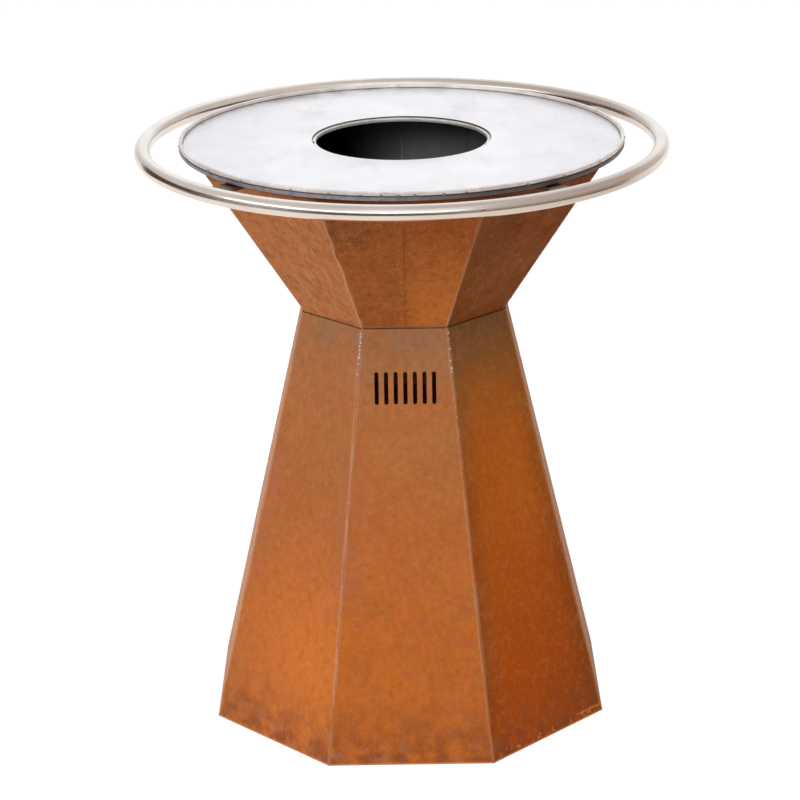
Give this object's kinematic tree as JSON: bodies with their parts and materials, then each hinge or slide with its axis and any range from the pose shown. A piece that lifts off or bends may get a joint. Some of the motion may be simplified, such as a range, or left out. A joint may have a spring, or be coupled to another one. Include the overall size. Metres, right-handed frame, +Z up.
{
  "type": "pyramid brazier grill",
  "caption": "Octagonal fire bowl of weathering steel wedged in a truncated pyramid base, with a lift-off round griddle plate with a central hole and a tube rail round it.",
  "frame": {"origin": "on the floor, under the middle of the base", "axes": "+Z up, -Y towards the front with the vent slots, +X to the right seen from the front"},
  "size_m": [0.8999, 0.9, 1.0114],
  "materials": {
    "weathering_steel_base": "matte orange-brown rust skin of weathering steel",
    "weathering_steel_bowl": "matte dark red-brown rust skin of weathering steel",
    "raw_steel": "dark mill scale, hot rolled",
    "griddle_steel": "bright ground plate",
    "hoop_steel": "bright drawn bar with heat tint at the tacks",
    "stainless_tube": "satin polished stainless tube"
  },
  "bodies": {
    "base": {"base_panel_front": "weathering_steel_base", "base_panel_front_right": "weathering_steel_base", "base_panel_right": "weathering_steel_base", "base_panel_back_right": "weathering_steel_base", "base_panel_back": "weathering_steel_base", "base_panel_back_left": "weathering_steel_base", "base_panel_left": "weathering_steel_base", "base_panel_front_left": "weathering_steel_base", "base_corner_welds": "weathering_steel_base"},
    "bowl": {"bowl_front_half_left": "weathering_steel_bowl", "bowl_front_half_right": "weathering_steel_bowl", "bowl_panel_front_right": "weathering_steel_bowl", "bowl_panel_right": "weathering_steel_bowl", "bowl_panel_back_right": "weathering_steel_bowl", "bowl_back_half_left": "weathering_steel_bowl", "bowl_back_half_right": "weathering_steel_bowl", "bowl_panel_back_left": "weathering_steel_bowl", "bowl_panel_left": "weathering_steel_bowl", "bowl_panel_front_left": "weathering_steel_bowl", "bowl_corner_welds": "weathering_steel_bowl", "bowl_seam_welds": "weathering_steel_bowl", "bowl_floor": "raw_steel"},
    "ash_pan": {"ash_pan_tray": "raw_steel", "ash_pan_feet": "raw_steel", "ash_pan_handle": "raw_steel"},
    "fire_grate": {"fire_grate_rim": "raw_steel", "fire_grate_cross_bars": "raw_steel", "fire_grate_bars": "raw_steel"},
    "rail": {"rail_tube": "stainless_tube", "rail_closing_weld": "stainless_tube", "rail_arm_front_left": "raw_steel", "rail_arm_front_right": "raw_steel", "rail_arm_back_left": "raw_steel", "rail_arm_back_right": "raw_steel"},
    "griddle": {"griddle_plate": "griddle_steel", "griddle_rim_hoop": "hoop_steel", "griddle_inner_hoop": "hoop_steel", "griddle_locating_lugs": "raw_steel", "rim_tack_welds": "hoop_steel", "inner_tack_welds": "hoop_steel"}
  },
  "joints": [
    {"name": "bowl_lift", "type": "slide", "parent": "base", "child": "bowl", "axis": [0, 0, 1], "range_m": [0, 0.2]},
    {"name": "rail_lift", "type": "slide", "parent": "bowl", "child": "rail", "axis": [0, 0, 1], "range_m": [0, 0.15]},
    {"name": "griddle_lift", "type": "slide", "parent": "rail", "child": "griddle", "axis": [0, 0, 1], "range_m": [0, 0.25]},
    {"name": "ash_pan_lift", "type": "slide", "parent": "bowl", "child": "ash_pan", "axis": [0, 0, 1], "range_m": [0, 0.45]},
    {"name": "grate_lift", "type": "slide", "parent": "ash_pan", "child": "fire_grate", "axis": [0, 0, 1], "range_m": [0, 0.4]}
  ]
}
